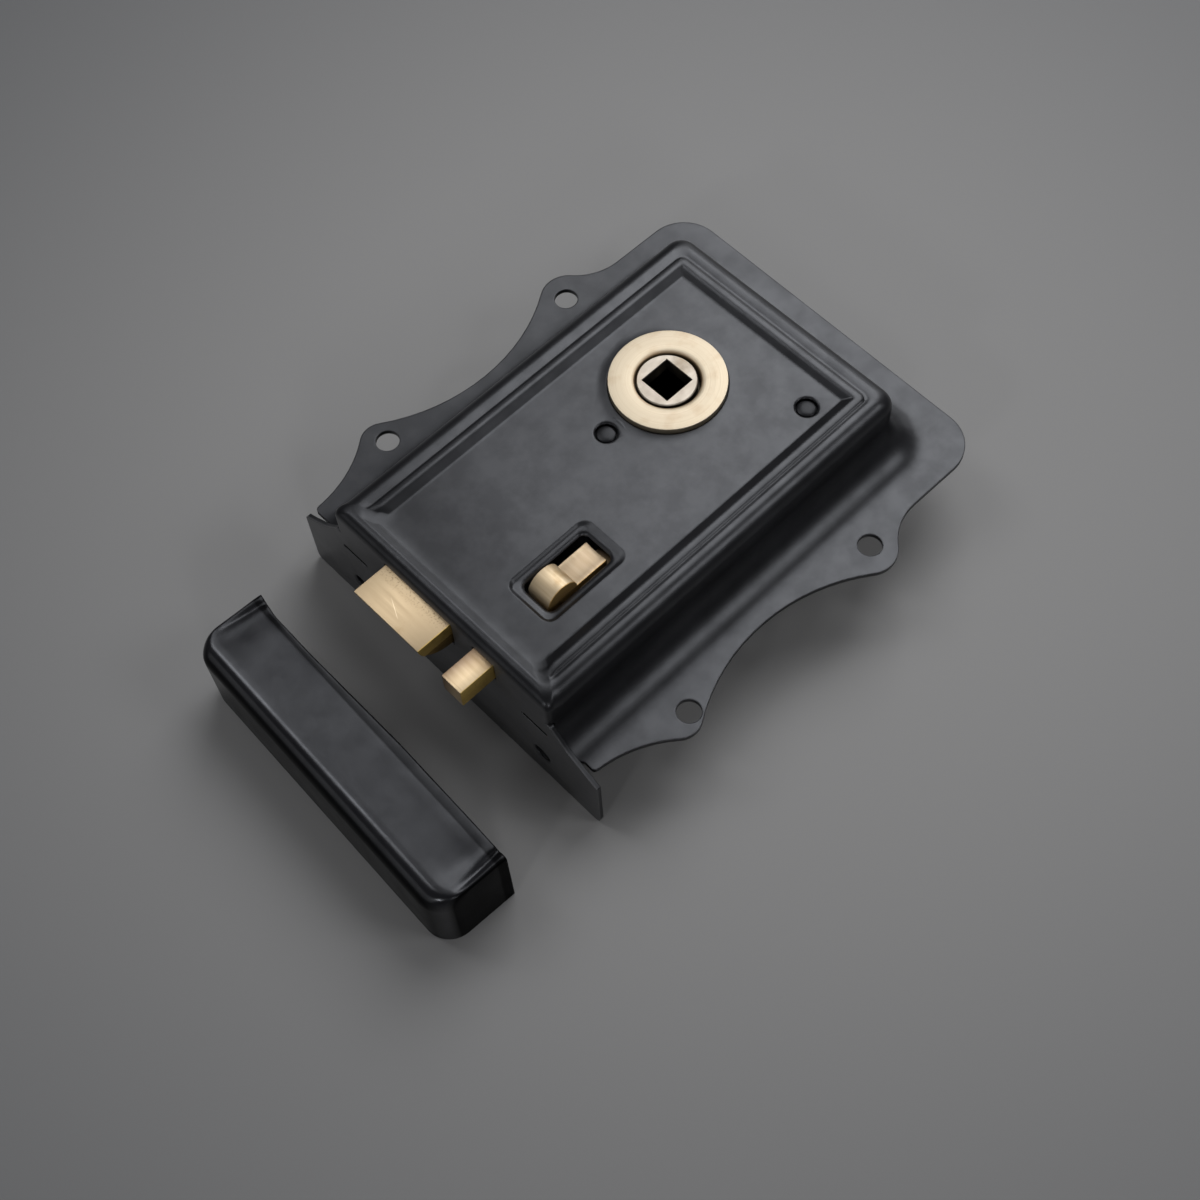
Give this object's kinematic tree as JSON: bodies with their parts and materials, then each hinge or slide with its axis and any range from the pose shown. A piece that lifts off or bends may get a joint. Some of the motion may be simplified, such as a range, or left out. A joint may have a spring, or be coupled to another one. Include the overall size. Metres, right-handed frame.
{
  "type": "rim box lock",
  "caption": "Rim box lock with a scalloped flange, a sprung latch drawn by a square spindle, a sliding privacy snib, and a loose box keep.",
  "frame": {"origin": "centre of the four flange screw holes on the door face of the flange", "axes": "+X along the lock, the way the bolts shoot; +Y across the lock towards the snib; +Z out of the door face"},
  "size_m": [0.1715, 0.1153, 0.0396],
  "materials": {
    "black_steel": "satin black enamel",
    "keep_steel": "semi-gloss black enamel",
    "black_rivet": "satin black enamel",
    "brass": "brushed satin",
    "ring_brass": "turned satin",
    "follower_brass": "satin, worn",
    "zinc_steel": "zinc plated",
    "spring_steel": "spring steel"
  },
  "bodies": {
    "lock": {"case": "black_steel", "back_plate": "zinc_steel", "back_plate_screws": "zinc_steel", "front_pillar": "black_rivet", "rear_pillar": "black_rivet", "follower_ring": "ring_brass", "follower_bush": "brass", "snib_keeper": "zinc_steel", "snib_keeper_rivets": "zinc_steel", "snib_spring": "spring_steel", "snib_spring_rivet": "zinc_steel"},
    "spindle_follower": {"follower": "follower_brass"},
    "latch": {"latch_bolt": "brass", "latch_tail": "zinc_steel", "latch_tail_rivets": "zinc_steel", "spring_spigot": "zinc_steel", "latch_spring": "spring_steel"},
    "snib": {"snib_bolt": "brass", "snib_thumb": "brass", "snib_rivet": "zinc_steel"},
    "box_keep": {"keep": "keep_steel"}
  },
  "joints": [
    {"name": "follower_turn", "type": "hinge", "parent": "lock", "child": "spindle_follower", "pos_m": [-0.0203, -0.0057, 0], "axis": [0, 0, 1], "range_deg": [0, 39.6]},
    {"name": "latch_slide", "type": "slide", "parent": "lock", "child": "latch", "axis": [1, 0, 0], "range_m": [-0.009, 0], "stiffness_N_per_m": 400, "springref_m": 0.01, "deforming": ["latch_spring"]},
    {"name": "snib_slide", "type": "slide", "parent": "lock", "child": "snib", "axis": [1, 0, 0], "range_m": [-0.009, 0]},
    {"name": "keep_lift", "type": "slide", "parent": "lock", "child": "box_keep", "axis": [0, 0, 1], "range_m": [0, 0.045]}
  ],
  "couplings": [
    {"joint": "follower_turn", "follows": "latch_slide", "rad_per_m": -76.79}
  ]
}
